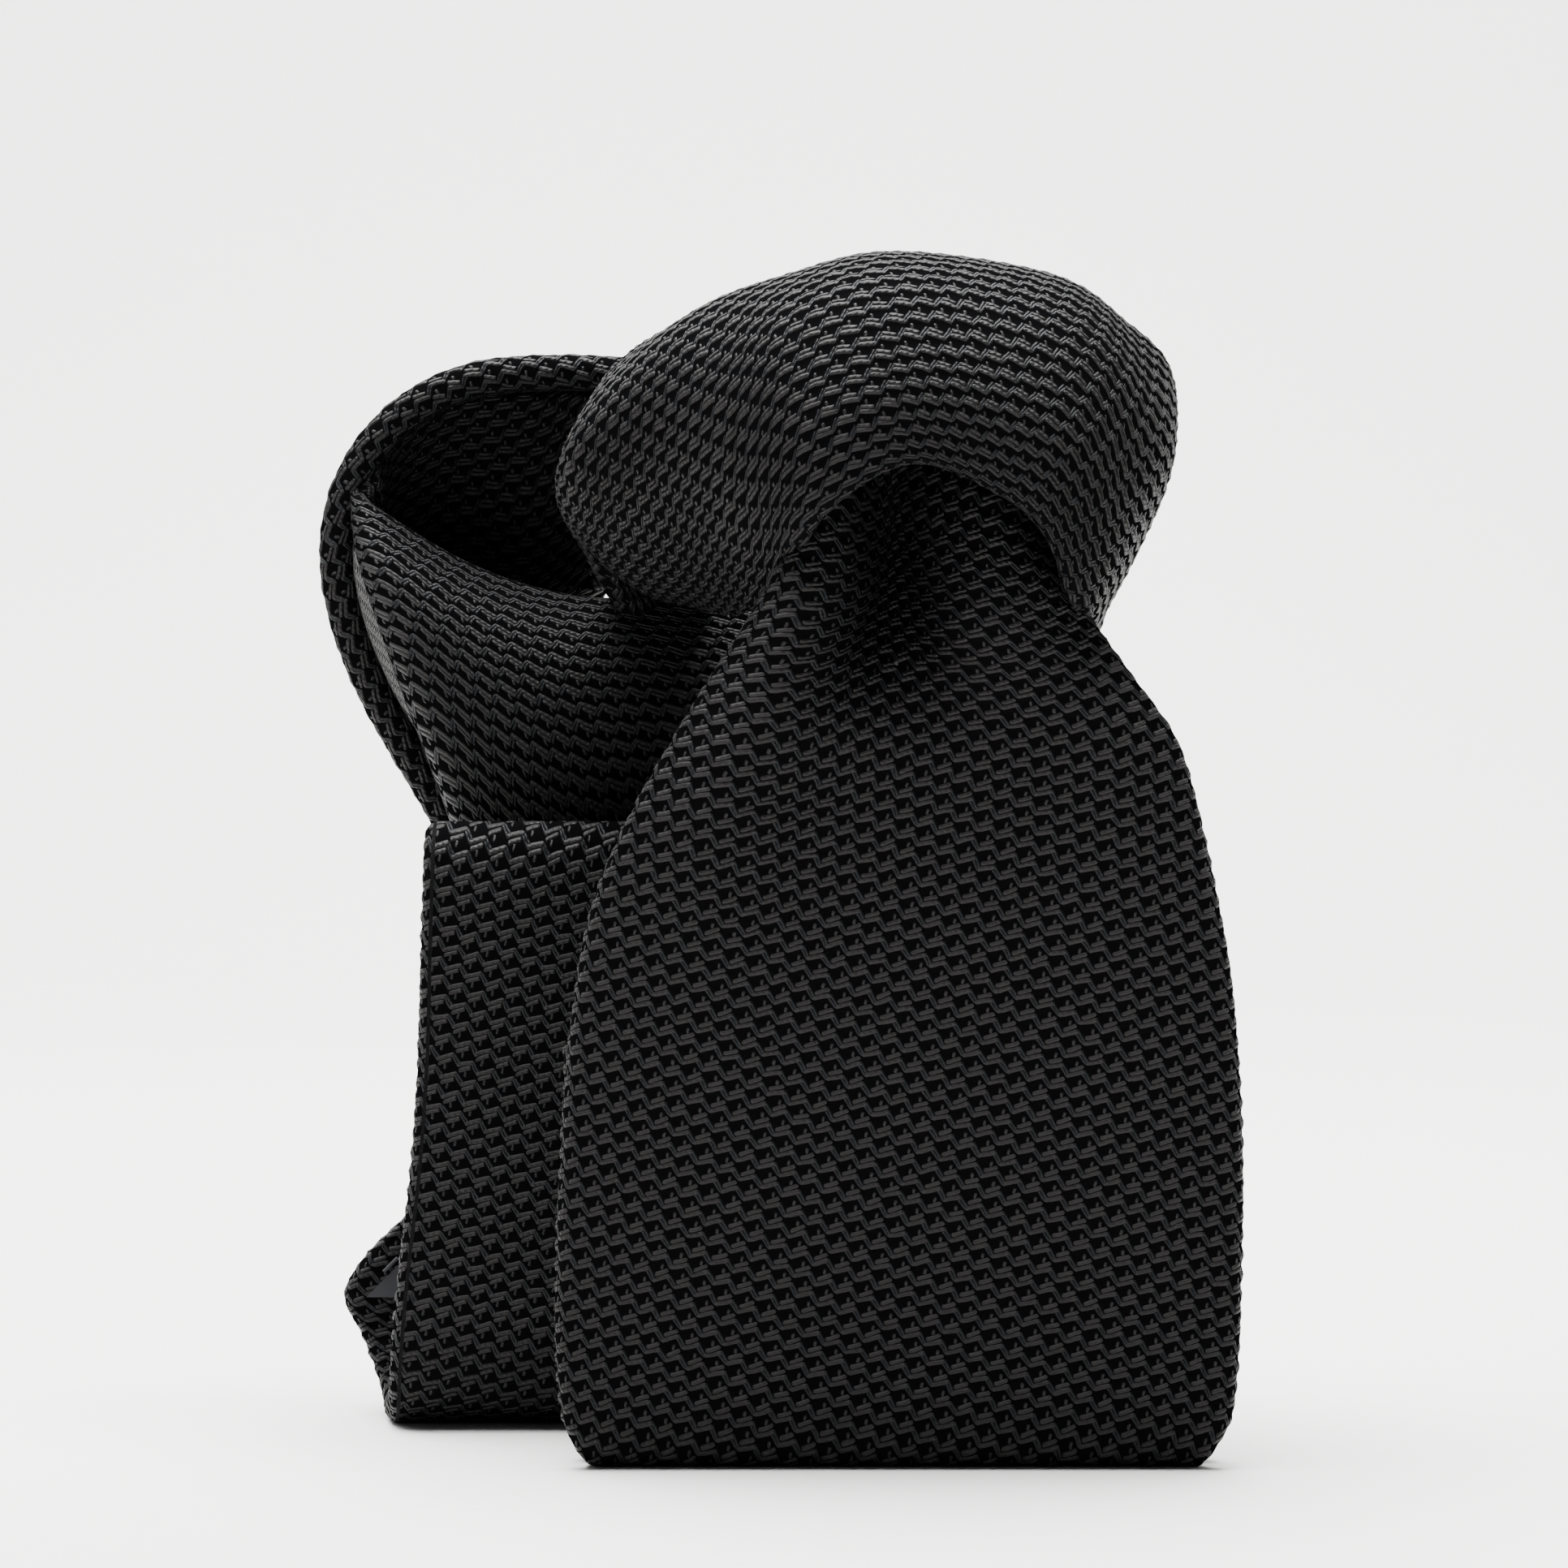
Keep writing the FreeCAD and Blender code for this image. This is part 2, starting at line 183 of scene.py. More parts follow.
@dataclass
class Weave:
    """The open weave's cell, in mm."""

    right: tuple = (2.41, -0.93)
    down: tuple = (0.37, -2.31)
    lift: float = 0.34

    def nearest(self, p: np.ndarray, q: np.ndarray) -> tuple:
        """The offset of each place from the middle of its cell.

        Args:
            p: Position along the rows.
            q: Position up the cloth.

        Returns:
            The two offsets, in mm.
        """
        (ax, ay), (bx, by) = self.right, self.down
        det = ax * by - ay * bx
        i, j = (p * by - q * bx) / det, (q * ax - p * ay) / det
        i, j = i - np.round(i), j - np.round(j)
        return i * ax + j * bx, i * ay + j * by

    def relief(self, p: np.ndarray, q: np.ndarray) -> np.ndarray:
        """How far the yarns stand out at each place.

        Args:
            p: Position along the rows.
            q: Position up the cloth.

        Returns:
            The height over the band's plain face, in mm.
        """
        x, y = self.nearest(p, q)
        eye = EYE_SWELL.height(x, y)
        steep = STEEP_SWELLS[0].height(x, y)
        steep += STEEP_SWELLS[1].height(x, y)
        return self.lift * (eye + STEEP_SHARE * steep - SUNK)


LEVEL_WEAVE = Weave(right=(2.56, -0.26), down=(0.82, -2.22))  # for the neck's band


@dataclass
class Band:
    """A flattened tube of silk round a wool core, laid along a net of points."""

    name: str
    rows: list
    thick: float = 3.8
    step: float = 0.5
    front_step: float = 0.5
    back_step: float = 1.3
    rows_run: Plane = Plane.ACROSS
    weave: Weave = field(default_factory=Weave)

    def section(self, half: float) -> tuple:
        """The tube's section, once round, at the band's mean half width.

        Args:
            half: Half the band's width.

        Returns:
            Place across from -1 to 1, height off the middle, and distance round from the middle
            of the face, as three arrays.
        """
        r = self.thick / 2
        flat = half - r * FOLD
        face = np.linspace(-flat, flat, max(FEWEST_ACROSS, int(2 * flat / self.front_step)))
        turn = np.linspace(0, math.pi, TURN_POINTS)[1:-1]
        back = np.linspace(flat, -flat, max(FEWEST_ACROSS, int(2 * flat / self.back_step)))
        x = np.concatenate([face, flat + FOLD * r * np.sin(turn), back, -flat - FOLD * r * np.sin(turn)])
        z = np.concatenate([face * 0 + r, r * np.cos(turn), back * 0 - r, -r * np.cos(turn)])
        round_ = np.concatenate([face, flat + r * turn, flat + math.pi * r + (flat - back),
                                 -flat - r * turn[::-1]])
        return x / half, z, round_

    def build(self, material: bpy.types.Material) -> bpy.types.Object:
        """Makes the mesh.

        Args:
            material: The cloth's material.

        Returns:
            The finished piece, in the shared frame.
        """
        grid = Grid.through(self.rows, self.step)
        normals, spans = grid.normals(), grid.spans()
        half = float(np.median(spans[:, -1] - spans[:, 0])) / 2
        x, z, round_ = self.section(half)
        at = (x + 1) / 2 * (grid.points.shape[1] - 1)
        middle = catmull(grid.points.transpose(1, 0, 2), at).transpose(1, 0, 2)
        normal = catmull(normals.transpose(1, 0, 2), at).transpose(1, 0, 2)
        width = (spans[:, -1] - spans[:, 0])[:, None] / 2 / half
        along = np.repeat(grid.lengths(MIDDLE)[:, None], len(x), axis=1)
        across = round_[None, :] * width
        p, q = (across, along) if self.rows_run is Plane.ACROSS else (along, across)
        taper = np.clip(width * TAPER_RATE, TAPER_LEAST, 1.0)
        height = z[None, :] * taper
        out = np.where(z[None, :] >= RELIEF_FROM * self.thick, self.weave.relief(p, q), 0.0)
        lift = np.abs(z)[None, :] / (self.thick / 2)
        points = middle + normal * (height + out * np.sign(z)[None, :] * lift)[..., None]
        sideways = np.cross(normal, np.gradient(middle, axis=0))
        sideways /= np.maximum(np.linalg.norm(sideways, axis=2, keepdims=True), TINY)
        points += sideways * (out * (1 - lift) * np.sign(x)[None, :] * -1)[..., None]
        return self.mesh(points, p, q, material)

    def mesh(
        self, points: np.ndarray, p: np.ndarray, q: np.ndarray, material: bpy.types.Material
    ) -> bpy.types.Object:
        """Turns a grid that closes round into a piece with capped ends.

        Args:
            points: The grid, rows along the band and points round it, in mm.
            p: Position along the weave's rows, for each point.
            q: Position up the cloth, for each point.
            material: The cloth's material.

        Returns:
            The piece.
        """
        rows, ring = points.shape[:2]
        world = (points.reshape(-1, 3) + np.array(PANEL_ORIGIN)) * MM
        i, j = np.meshgrid(np.arange(rows - 1), np.arange(ring), indexing="ij")
        k = (j + 1) % ring
        near, far = i * ring, (i + 1) * ring
        quads = np.stack([near + j, near + k, far + k, far + j], -1).reshape(-1, 4)
        ends = [list(range(ring))[::-1], [(rows - 1) * ring + n for n in range(ring)]]
        data = bpy.data.meshes.new(self.name)
        data.from_pydata(world.tolist(), [], quads.tolist() + ends)
        uv = data.uv_layers.new(name="Cloth")
        loops = np.zeros(len(data.loops), int)
        data.loops.foreach_get("vertex_index", loops)
        values = np.stack([p.reshape(-1)[loops], q.reshape(-1)[loops]], -1)
        uv.data.foreach_set("uv", values.astype(np.float32).ravel())
        data.polygons.foreach_set("use_smooth", [True] * len(data.polygons))
        data.materials.append(material)
        data.update()
        piece = bpy.data.objects.new(self.name, data)
        bpy.context.scene.collection.objects.link(piece)
        log.info("%s: %d points", self.name, len(world))
        return piece


# ---------------------------------------------------------------- materials
class Socket:
    """A node's output that can be used in sums."""

    def __init__(self, tree: "Tree", out) -> None:
        self.tree, self.out = tree, out

    def _math(self, kind: str, *others) -> "Socket":
        return self.tree.maths(kind, self, *others)

    def __add__(self, other) -> "Socket":
        return self._math("ADD", other)

    def __sub__(self, other) -> "Socket":
        return self._math("SUBTRACT", other)

    def __mul__(self, other) -> "Socket":
        return self._math("MULTIPLY", other)

    def __truediv__(self, other) -> "Socket":
        return self._math("DIVIDE", other)

    def round(self) -> "Socket":
        """To the nearest whole number."""
        return self._math("ROUND")

    def sin(self) -> "Socket":
        """The sine."""
        return self._math("SINE")

    def clamp(self) -> "Socket":
        """Kept from 0 to 1."""
        return self.tree.maths("ADD", self, 0.0, clamp=True)

    def maximum(self, other) -> "Socket":
        """The larger of two."""
        return self._math("MAXIMUM", other)


class Tree:
    """A material's nodes."""

    def __init__(self, name: str) -> None:
        self.material = bpy.data.materials.new(name)
        self.material.use_nodes = True
        self.nodes = self.material.node_tree.nodes
        self.links = self.material.node_tree.links
        self.nodes.clear()

    def node(self, kind: str, inputs: dict | None = None, **settings):
        """Makes one node.

        Args:
            kind: The node's type.
            inputs: Values or sockets by input name or number.
            settings: Properties of the node.

        Returns:
            The node.
        """
        made = self.nodes.new(kind)
        for key, value in settings.items():
            setattr(made, key, value)
        for key, value in (inputs or {}).items():
            if isinstance(value, Socket):
                self.links.new(value.out, made.inputs[key])
            else:
                made.inputs[key].default_value = value
        return made

    def maths(self, kind: str, *values, clamp: bool = False) -> Socket:
        """One step of arithmetic.

        Args:
            kind: The operation.
            values: Numbers or sockets.
            clamp: Whether the result is kept from 0 to 1.

        Returns:
            The result.
        """
        made = self.node("ShaderNodeMath", dict(enumerate(values)), operation=kind, use_clamp=clamp)
        return Socket(self, made.outputs[0])

    def mix(self, share, low: tuple, high) -> Socket:
        """A colour between two."""
        made = self.node("ShaderNodeMix", {0: share, 6: low, 7: high}, data_type="RGBA")
        return Socket(self, made.outputs[2])

    def noise(self, vector: Socket, scale: float, detail: float = 2.0) -> Socket:
        """Even noise from 0 to 1."""
        made = self.node("ShaderNodeTexNoise", {"Vector": vector, "Scale": scale, "Detail": detail})
        return Socket(self, made.outputs["Fac"])


@dataclass(frozen=True)
class Yarn:
    """One yarn of the weave's cell: a short straight run, in mm."""

    x: float
    y: float
    angle: float
    half: float
    radius: float


@dataclass(frozen=True)
class ClothFinish:
    """How the silk takes the light."""

    warm: tuple = (0.0128, 0.0120, 0.0119, 1.0)
    cool: tuple = (0.0068, 0.0074, 0.0086, 1.0)
    # painted shade: the dark colour laid on the yarns' low sides and in the gaps between them
    painted_recess_shade: tuple = (0.0021, 0.0021, 0.0023, 1.0)
    roughness: float = 0.55
    index: float = 1.22
    bump_mm: float = 0.45
    wobble_scale: float = 0.35
    wobble_mm: float = 0.5
    nub_height: float = 0.85
    steep_height: float = 0.72
    grain_scale: float = 9.0
    grain_rough: float = 0.2
    grain_height: float = 0.06


SHADE_RAMP = (2.0, 0.4)      # painted shade: a yarn's sides darken to the dark recess colour by its height
GAP_SHADE_RAMP = (2.6, 0.3)        # painted shade: where there is no yarn a matt dark sheet stands in the gap
TWIST = (9.0, 7.0, 0.10)     # the twist's turns along and across a yarn, and its depth
TWIST_MEAN = 0.95

EYE = (
    Yarn(0.06, 0.30, 16, 0.62, 0.27),
    Yarn(0.00, -0.34, 13, 0.85, 0.29),
)
NUB = (Yarn(0.08, 0.92, 80, 0.14, 0.21),)
STEEP = (
    Yarn(-1.12, 0.24, -62, 0.72, 0.17),
    Yarn(-1.36, 0.02, -58, 0.62, 0.17),
)


class ClothMaterial:
    """The open gauze weave, from yarns laid out in each cell, with painted shade on the yarns' low sides
    and in the gaps.
    """

    def __init__(self, name: str, weave: Weave, finish: ClothFinish) -> None:
        self.tree = Tree(name)
        self.weave, self.finish = weave, finish

    def offsets(self, p: Socket, q: Socket) -> tuple:
        """The place within the nearest cell.

        Args:
            p: Position along the rows, in mm.
            q: Position up the cloth, in mm.

        Returns:
            The two offsets from the cell's middle.
        """
        (ax, ay), (bx, by) = self.weave.right, self.weave.down
        det = ax * by - ay * bx
        i = p * (by / det) - q * (bx / det)
        j = q * (ax / det) - p * (ay / det)
        i, j = i - i.round(), j - j.round()
        return i * ax + j * bx, i * ay + j * by

    def yarn(self, x: Socket, y: Socket, yarn: Yarn) -> Socket:
        """A yarn's height, from 0 at its edge to about 1 on top.

        Args:
            x: Place along the rows, from the cell's middle.
            y: Place up the cloth, from the cell's middle.
            yarn: The yarn.

        Returns:
            The height.
        """
        c, s = math.cos(math.radians(yarn.angle)), math.sin(math.radians(yarn.angle))
        dx, dy = x - yarn.x, y - yarn.y
        run = dx * c + dy * s
        off = dy * c - dx * s
        past = (self.tree.maths("ABSOLUTE", run) - yarn.half).maximum(0.0)
        gap = (past * past + off * off) / (yarn.radius**2)
        twist = (run * TWIST[0] + off * TWIST[1]).sin() * TWIST[2]
        inside = self.tree.maths("SUBTRACT", 1.0, gap, clamp=True)
        return self.tree.maths("SQRT", inside) * (twist + TWIST_MEAN)

    def layer(self, x: Socket, y: Socket, yarns: Sequence[Yarn], shifts: Sequence[tuple]) -> Socket:
        """The highest of several yarns, seen from this cell and its neighbours.

        Args:
            x: Place along the rows, from the cell's middle.
            y: Place up the cloth, from the cell's middle.
            yarns: The yarns of one cell.
            shifts: How far off each cell lies that is looked at.

        Returns:
            The greatest height.
        """
        found = None
        for sx, sy in shifts:
            for yarn in yarns:
                moved = Yarn(yarn.x + sx, yarn.y + sy, yarn.angle, yarn.half, yarn.radius)
                made = self.yarn(x, y, moved)
                found = made if found is None else found.maximum(made)
        return found

    def build(self) -> bpy.types.Material:
        """Makes the material."""
        t, finish = self.tree, self.finish
        (ax, ay), (bx, by) = self.weave.right, self.weave.down
        uv = Socket(t, t.node("ShaderNodeUVMap", uv_map="Cloth").outputs[0])
        wobble = t.node(
            "ShaderNodeTexNoise", {"Vector": uv, "Scale": finish.wobble_scale, "Detail": 1.0},
        )
        moved = t.node(
            "ShaderNodeVectorMath", {0: Socket(t, wobble.outputs["Color"]), 1: (0.5, 0.5, 0.5)},
            operation="SUBTRACT",
        )
        scaled = t.node(
            "ShaderNodeVectorMath", {0: Socket(t, moved.outputs[0]), "Scale": finish.wobble_mm},
            operation="SCALE",
        )
        placed = t.node("ShaderNodeVectorMath", {0: uv, 1: Socket(t, scaled.outputs[0])}, operation="ADD")
        parts = t.node("ShaderNodeSeparateXYZ", {0: Socket(t, placed.outputs[0])})
        p, q = Socket(t, parts.outputs[0]), Socket(t, parts.outputs[1])
        x, y = self.offsets(p, q)
        eye = self.layer(x, y, EYE, [(0, 0)])
        nub = self.layer(x, y, NUB, [(0, 0), (bx, by)])
        steep = self.layer(x, y, STEEP, [(0, 0), (ax, ay), (-bx, -by)])
        warm = eye.maximum(nub * finish.nub_height)
        cool = steep * finish.steep_height
        height = warm.maximum(cool)
        fine = t.noise(uv, finish.grain_scale)
        shade = t.mix(t.maths("GREATER_THAN", warm, cool), finish.cool, finish.warm)
        # painted shade: the low parts of each yarn blend to the dark recess colour
        base = t.mix((height * SHADE_RAMP[0] - SHADE_RAMP[1]).clamp(), finish.painted_recess_shade, shade)
        rough = (fine * finish.grain_rough + (finish.roughness - finish.grain_rough / 2)).clamp()
        bump = t.node("ShaderNodeBump", {
            "Strength": 1.0, "Distance": finish.bump_mm * MM,
            "Height": height + fine * finish.grain_height,
        })
        normal = Socket(t, bump.outputs[0])
        silk = t.node("ShaderNodeBsdfPrincipled", {
            "Base Color": base, "Roughness": rough, "IOR": finish.index, "Normal": normal,
        })
        # painted shade: the gaps get a matt dark diffuse sheet in place of the silk
        gap = t.node("ShaderNodeBsdfDiffuse", {"Color": finish.painted_recess_shade})
        surface = t.node("ShaderNodeMixShader", {
            0: (height * GAP_SHADE_RAMP[0] - GAP_SHADE_RAMP[1]).clamp(),
            1: Socket(t, gap.outputs[0]),
            2: Socket(t, silk.outputs[0]),
        })
        t.node("ShaderNodeOutputMaterial", {0: Socket(t, surface.outputs[0])})
        return t.material


def plain(name: str, colour: tuple, roughness: float) -> bpy.types.Material:
    """A plain matt finish.

    Args:
        name: The material's name.
        colour: Its colour, with alpha.
        roughness: Its roughness.

    Returns:
        The material.
    """
    t = Tree(name)
    surface = t.node("ShaderNodeBsdfPrincipled", {
        "Base Color": colour, "Roughness": roughness, "Sheen Weight": 0.2,
    })
    t.node("ShaderNodeOutputMaterial", {0: Socket(t, surface.outputs[0])})
    return t.material


# ---------------------------------------------------------------- the tie's bands
SPREAD = (-1.0, -0.68, -0.34, 0.0, 0.34, 0.68, 1.0)  # where the points of a level row lie
LAST = 4                                             # the last of the five points of other rows
TURN_REACH = 0.45                                    # how far a turn passes the row before it, in pitches


def level(left: float, right: float, depth, z: float) -> list:
    """A row straight across at one height.

    Args:
        left: The row's left end, in mm.
        right: Its right end.
        depth: How far back it lies, as one number or one for each point.
        z: Its height.

    Returns:
        The row's points.
    """
    mid, half = (left + right) / 2, (right - left) / 2
    depths = [depth] * len(SPREAD) if isinstance(depth, (int, float)) else depth
    return [(mid + half * s, d, z) for s, d in zip(SPREAD, depths)]


FRONT_ROWS = [
    level(-0.6, 0.6, 9.0, 87.4),
    level(-9.5, 9.5, 8.9, 78),
    level(-19.5, 19.5, 8.8, 68),
    level(-29.5, 29.5, 8.7, 58),
    level(-37.5, 37.5, 8.7, 49.5),
    level(-38.4, 38.6, 8.7, 44),
    level(-38.6, 38.8, 8.7, 20),
    level(-38.2, 38.4, 8.7, 7.5),
    level(-37.0, 36.9, 7.7, 3.1),
    level(-35.8, 35.4, 5.3, 1.9),
    level(-37.0, 36.9, 2.9, 3.1),
    level(-38.6, 38.8, 1.9, 7.5),
    level(-39.2, 39.6, 1.9, 20),
    level(-38.4, 39.7, 1.9, 39),
    level(-36.9, 38.6, (2.2, 1.6, 1.7, 1.9, 1.9, 1.9, 2.3), 55),
    level(-34.6, 36.8, (2.6, 1.0, 1.6, 2.0, 1.9, 1.7, 2.6), 66),
    level(-30.2, 34.6, (2.4, 0.0, 1.6, 2.2, 1.9, 1.4, 2.8), 76),
    level(-25.5, 32.0, (2.4, -0.7, 1.7, 2.7, 1.6, 1.0, 3.2), 84),
    level(-21.2, 26.8, (2.2, -0.6, 4.4, 4.8, 1.4, 0.8, 3.6), 91),
    level(-17.3, 22.2, (1.6, 0.0, 8.6, 8.4, 1.2, 0.6, 4.2), 97),
    level(-14.5, 19.2, (1.8, 1.4, 11.4, 11.4, 2.6, 0.8, 4.8), 102),
    level(-12.6, 16.4, (3.0, 3.6, 13.4, 13.6, 5.0, 2.0, 5.6), 107),
    level(-11.5, 14.5, (5.0, 6.6, 14.2, 14.6, 8.0, 4.4, 6.6), 112),
    level(-11.5, 13.5, (9.0, 11.0, 15.4, 15.6, 12.0, 9.0, 9.6), 117),
    level(-12.5, 13.0, 17.0, 121),
    level(-14.5, 12.0, 23.0, 122.4),
    level(-18.0, 10.0, 32.0, 122.0),
]

LOOP_ROWS = [
    [(-18, 44, 110), (-18, 45, 114), (-18, 45, 118), (-17.5, 44, 121), (-17, 42, 123.5)],
    [(-25, 52, 107), (-25, 54, 112), (-25, 54.5, 117), (-25, 54, 122), (-25, 52, 126)],
    [(-33, 58, 105.5), (-33, 60, 109), (-33, 60.5, 114), (-33, 60, 120.5), (-33, 58.5, 125.8)],
    [(-43, 60, 88), (-43, 63, 98), (-43, 63.5, 107), (-43, 62.5, 117), (-43, 60.5, 125.8)],
    [(-52, 58, 79), (-53, 61.5, 92), (-54.5, 62, 104), (-55.2, 61, 115.5), (-54.8, 59, 124.6)],
    [(-50.5, 54, 70), (-55.5, 56, 84), (-60.5, 56.5, 99), (-62.8, 56.5, 111), (-62.2, 56, 119.6)],
    [(-48.6, 48.5, 64), (-53.6, 49.5, 78), (-59.6, 50.5, 94), (-63.5, 51.5, 106.5), (-64.2, 52.5, 114)],
    [(-46.4, 45.5, 59), (-50.8, 45.2, 74), (-57, 45.5, 91), (-61, 47, 103), (-61.6, 50.5, 109.8)],
    [(-40.5, 45.5, 54), (-43.5, 44.8, 70), (-48, 44.2, 86), (-50.6, 45.6, 97), (-51.4, 50, 103.6)],
    [(-33, 48, 50), (-35, 46.6, 66), (-38, 45.4, 82), (-40, 46.3, 93.5), (-40.4, 50, 100.2)],
    [(-24, 50.5, 48), (-25, 49, 64), (-27, 47.4, 80), (-28, 48.2, 92), (-28, 51, 99.4)],
    [(-12, 52, 46), (-12, 51, 62), (-13, 50, 78), (-13, 50.5, 90), (-13, 52.5, 98)],
    [(-1, 53, 45), (-1, 52.5, 61), (-1, 52, 77), (-1, 52, 88), (-1, 52.5, 96)],
    [(8, 51.5, 54), (9.5, 52, 66), (11, 52, 79), (12, 52, 90), (12.5, 52, 98)],
    [(16.5, 46, 74), (19, 46.5, 82), (21.5, 47, 90), (23, 49, 98), (25.5, 51, 107)],
    [(18, 32, 82), (20.5, 34, 90), (23, 37, 99), (28, 41, 110), (29.5, 44, 118)],
    [(19.5, 17, 92), (23, 20, 100.5), (28, 25, 111), (31, 31, 119), (30.5, 38, 123)],
    [(20.8, 5, 97.5), (26.2, 9, 106.5), (30.4, 13, 116.5), (30.8, 22, 126), (28.6, 34, 127)],
    [(19.6, -1.5, 100.5), (24.0, 0.5, 109.5), (27.6, 6.5, 121.0), (26.2, 18, 130.6), (24, 32, 129)],
    [(15.0, -3.5, 109.5), (18.5, -2.5, 120), (19.5, 4.5, 130.5), (18, 17, 136), (16, 32, 132)],
    [(2.2, -3.6, 115.5), (1.5, -3.0, 125), (1, 4.0, 135), (0, 17, 138.6), (-1, 33, 135)],
    [(-8.5, -3.2, 109.5), (-10.5, -2.2, 120.5), (-11.5, 4.5, 131.5), (-11.5, 17, 136.2), (-11, 33, 134)],
    [(-13.2, 8, 101.6), (-17, 3.4, 111), (-19.5, 5.5, 123), (-21, 15, 132.2), (-20, 31, 132.4)],
    [(-17, 26, 98.8), (-22, 18, 106.5), (-26.5, 12.5, 116), (-29, 15, 125.5), (-28, 29, 129.5)],
    [(-21, 43, 100.2), (-28.3, 34, 102.6), (-34.3, 24.5, 108.5), (-37.0, 18.5, 116), (-32, 25, 126)],
    [(-21, 55, 99.6), (-27.5, 50.5, 101), (-33, 41, 105), (-37, 32, 111), (-32, 35, 122)],
    [(-20, 60, 88), (-25, 58, 91), (-30, 53, 96), (-32.5, 47, 103), (-30, 44, 112)],
]


def edge_on(points: Sequence[tuple], width: float, lean: float) -> list:
    """Rows of a band whose width runs back from a curve in XZ.

    Args:
        points: The curve.
        width: The band's width, in mm.
        lean: How far it leans right for each mm back.

    Returns:
        The rows.
    """
    rows = []
    for x, y, z in points:
        rows.append([
            (x + lean * k * width / LAST, y + k * width / LAST, z - abs(lean) * k * width / (2 * LAST))
            for k in range(LAST + 1)
        ])
    return rows


PLY_ROWS = edge_on([
    (-22, 52, 126.0), (-31, 52, 127.2), (-41, 52, 127.6), (-50, 52, 126.9), (-57.2, 52, 124.1),
    (-63.0, 52, 119.1), (-66.7, 52, 112.4), (-67.8, 52, 105), (-66.5, 52, 97), (-63.4, 52, 89),
    (-59.2, 52, 81.4), (-54.6, 52, 73.6), (-49.9, 52, 64), (-45.6, 52, 53), (-42.6, 52, 41),
], 21.0, 0.02)


def strip(points: Sequence[tuple]) -> list:
    """Rows of a band with its width along X.

    Args:
        points: Left end, right end, depth and height of each row.

    Returns:
        The rows.
    """
    return [
        [(left + (right - left) * k / LAST, y, z) for k in range(LAST + 1)]
        for left, right, y, z in points
    ]


TAIL_ROWS = strip([
    (-57.0, -19.5, 36.2, 45), (-56.4, -19.2, 36.2, 58), (-56.0, -19.0, 36.2, 67),
    (-55.9, -18.9, 35.6, 70.2), (-55.8, -18.8, 34.0, 71.6), (-55.9, -18.9, 32.4, 70.2),
    (-56.0, -19.0, 31.8, 67), (-56.3, -19.4, 31.7, 58), (-56.6, -19.8, 31.6, 46),
    (-57.6, -20.4, 31.7, 32), (-59.0, -21.0, 31.8, 20), (-59.9, -21.6, 32.0, 10.4),
    (-60.4, -22.2, 34.4, 4.6), (-61.2, -23.0, 40.8, 1.9), (-62.4, -24.0, 47.2, 4.4),
    (-64.6, -26.4, 49.6, 9.6), (-66.8, -28.8, 49.8, 14.5), (-64.5, -33.2, 49.8, 19.0),
    (-58.6, -39.1, 49.8, 25.0), (-52.0, -44.2, 49.8, 31.0), (-48.6, -47.6, 49.8, 33.6),
])


def passes(
    left: float, right: float, first: float, pitch: float, low: float, tops: Sequence[float]
) -> list:
    """Rows of the narrow cloth laid up and down.

    Args:
        left: The cloth's left edge, in mm.
        right: Its right edge.
        first: How far back the first pass lies.
        pitch: From one pass to the next.
        low: Where the passes start, over the floor.
        tops: How high they go, one for each pair.

    Returns:
        The rows.
    """
    rows = []
    for k in range(2 * len(tops)):
        y, high = first + k * pitch, tops[k // 2]
        up = [low, (2 * low + high) / 3, (low + 2 * high) / 3, high]
        for z in up if k % 2 == 0 else up[::-1]:
            rows.append((left, right, y, z))
        if k % 2 == 0:
            rows.append((left, right, y + pitch / 2, high + pitch * TURN_REACH))
        elif k + 1 < 2 * len(tops):
            rows.append((left, right, y + pitch / 2, low - pitch * TURN_REACH))
    return strip(rows)


ROLL_ROWS = passes(-19.6, 18.0, 14.2, 4.1, 6.0, (78, 73.4, 68.9, 64.4, 36, 36))


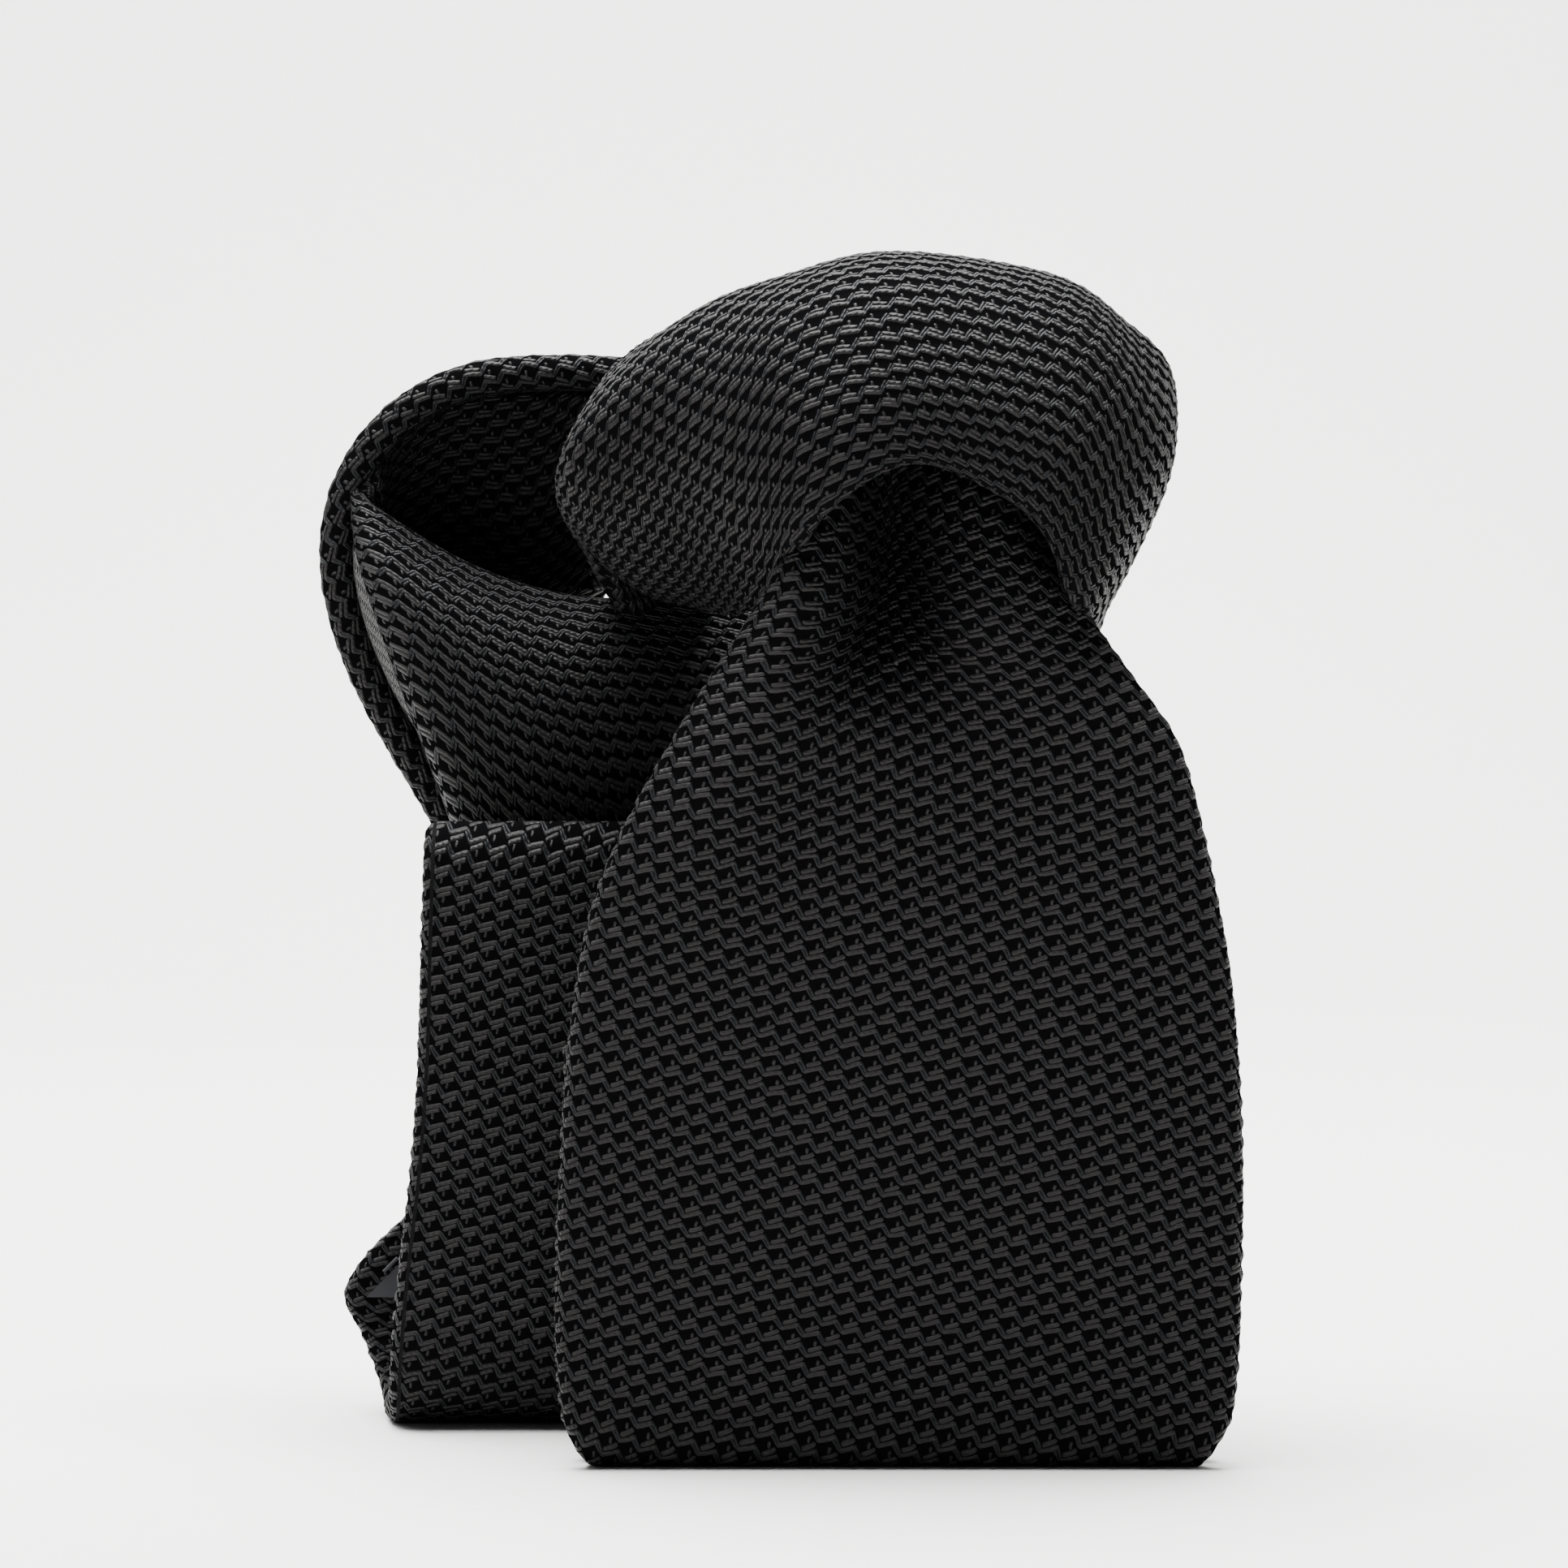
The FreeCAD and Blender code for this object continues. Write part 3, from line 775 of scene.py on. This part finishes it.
# ---------------------------------------------------------------- putting it together
class Tie:
    """The whole necktie."""

    def __init__(self) -> None:
        self.silk = ClothMaterial("grenadine silk", Weave(), ClothFinish()).build()
        self.level_silk = ClothMaterial("grenadine silk laid level", LEVEL_WEAVE, ClothFinish()).build()

    def cloth(self, band: Band, body: str, replaced: Sequence[str]) -> bpy.types.Object:
        """Builds a band of cloth and puts it on its body.

        Args:
            band: The band.
            body: The body it rides on, or nothing if that is said elsewhere.
            replaced: The CAD nodes that it stands for.

        Returns:
            The piece.
        """
        piece = band.build(self.level_silk if band.weave is LEVEL_WEAVE else self.silk)
        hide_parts(*replaced)
        if body:
            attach(piece, body)
        return piece

    def flat(self, band: Band) -> tuple:
        """A band laid flat.

        Args:
            band: The band.

        Returns:
            Its greatest width and its length, in metres, and its area, in square metres.
        """
        grid = Grid.through(band.rows, 1.0)
        spans = grid.spans()
        widths = spans[:, -1] - spans[:, 0]
        length = grid.lengths(MIDDLE)
        area = float(np.sum((widths[1:] + widths[:-1]) / 2 * np.diff(length)))
        return (float(widths.max()) * MM, float(length[-1]) * MM), area * MM * MM

    def build(self) -> None:
        """Builds every band."""
        front = Band("front_blade", FRONT_ROWS, step=0.55)
        loop = Band("neck_band", LOOP_ROWS, rows_run=Plane.ALONG, weave=LEVEL_WEAVE)
        ply = Band("loop_second_ply", PLY_ROWS, thick=4.2, step=0.6, rows_run=Plane.ALONG)
        tail = Band("tail_blade", TAIL_ROWS, thick=3.6, step=0.55)
        roll = Band("hidden_passes", ROLL_ROWS, thick=3.4, step=1.2, front_step=1.2)
        made = self.cloth(front, "", ("front_blade_shell", "front_blade_interlining"))
        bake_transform(made)
        others = (
            (loop, ("neck_band_shell", "neck_band_interlining")),
            (ply, ("gusset_interlining",)),
            (tail, ("tail_blade_shell", "tail_blade_interlining")),
            (roll, ("gusset_shell",)),
        )
        pieces = [(made, front)]
        for band, replaced in others:
            pieces.append((self.cloth(band, "roll", replaced), band))
        for piece, band in pieces:
            size, area = self.flat(band)
            log.info("%s flat %s area %.5f", piece.name, size, area)

    @staticmethod
    def place(x: float, y: float, z: float) -> tuple:
        """A place given about the panel's middle, in the shared frame.

        Args:
            x: To the right, in mm.
            y: Back.
            z: Up.

        Returns:
            The place, in metres.
        """
        return tuple((a + b) * MM for a, b in zip((x, y, z), PANEL_ORIGIN))


# ---------------------------------------------------------------- stage
@dataclass(frozen=True)
class View:
    """The camera, about the panel's middle."""

    x: float = -12.9
    y: float = -700.0
    z: float = 105.0
    lens: float = 140.9
    down_deg: float = 2.12


@dataclass(frozen=True)
class Sweep:
    """The floor's side view: flat, then a quarter turn up into a wall, in metres."""

    near: float = -1.5
    bend: float = 0.7
    radius: float = 0.6
    wall: float = 1.3
    top: float = 2.6
    half_width: float = 3.0
    steps: int = 16


class Stage:
    """Floor, light and camera."""

    def floor(self, shape: Sweep) -> None:
        """A pale floor that curves up into a wall behind.

        Args:
            shape: The floor's side view.
        """
        line = [(shape.near, 0.0), (shape.bend, 0.0)]
        for k in range(1, shape.steps + 1):
            a = math.pi / 2 * k / shape.steps
            line.append((shape.bend + shape.radius * math.sin(a), shape.radius * (1 - math.cos(a))))
        line.append((shape.wall, shape.top))
        points = [(x, y, z) for y, z in line for x in (-shape.half_width, shape.half_width)]
        faces = [(2 * k, 2 * k + 1, 2 * k + 3, 2 * k + 2) for k in range(len(line) - 1)]
        data = bpy.data.meshes.new("floor")
        data.from_pydata(points, [], faces)
        data.polygons.foreach_set("use_smooth", [True] * len(data.polygons))
        data.materials.append(plain("pale floor", (0.84, 0.835, 0.825, 1.0), 0.8))
        sweep = bpy.data.objects.new("floor", data)
        bpy.context.scene.collection.objects.link(sweep)

    def light(
        self, name: str, where: tuple, size: float, watts: float, aim: tuple = (0, 0, 0.07)
    ) -> None:
        """One soft area light.

        Args:
            name: The light's name.
            where: Its place, in metres.
            size: The length of its side.
            watts: Its power.
            aim: The place it points at.
        """
        data = bpy.data.lights.new(name, "AREA")
        data.size, data.energy = size, watts
        lamp = bpy.data.objects.new(name, data)
        lamp.location = where
        lamp.rotation_euler = (Vector(aim) - Vector(where)).to_track_quat("-Z", "Y").to_euler()
        bpy.context.scene.collection.objects.link(lamp)

    def world(self) -> None:
        """Even light from all round."""
        world = bpy.data.worlds.new("studio")
        world.use_nodes = True
        world.node_tree.nodes["Background"].inputs[0].default_value = (0.95, 0.97, 1.0, 1.0)
        world.node_tree.nodes["Background"].inputs[1].default_value = 0.10
        bpy.context.scene.world = world

    def camera(self, view: View) -> None:
        """The camera, level but for a slight tilt down.

        Args:
            view: Where it is, and its lens.
        """
        data = bpy.data.cameras.new("camera")
        data.lens, data.sensor_width = view.lens, 36.0
        data.clip_start, data.clip_end = 0.05, 20.0
        camera = bpy.data.objects.new("camera", data)
        camera.location = Tie.place(view.x, view.y, view.z)
        camera.rotation_euler = (math.radians(90 - view.down_deg), 0, 0)
        bpy.context.scene.collection.objects.link(camera)
        bpy.context.scene.camera = camera

    def build(self) -> None:
        """Builds the stage."""
        self.floor(Sweep())
        self.world()
        self.light("top", (-0.12, 0.10, 1.0), 0.85, 52)
        self.light("wall", (0.0, 0.35, 1.7), 1.2, 90, (0.0, 1.3, 0.3))
        self.light("side", (-0.45, -0.3, 0.9), 0.4, 2)
        self.camera(View())


def main() -> None:
    """Builds the scene."""
    logging.basicConfig(level=logging.INFO)
    Tie().build()
    Stage().build()


if __name__ == "__main__":
    main()
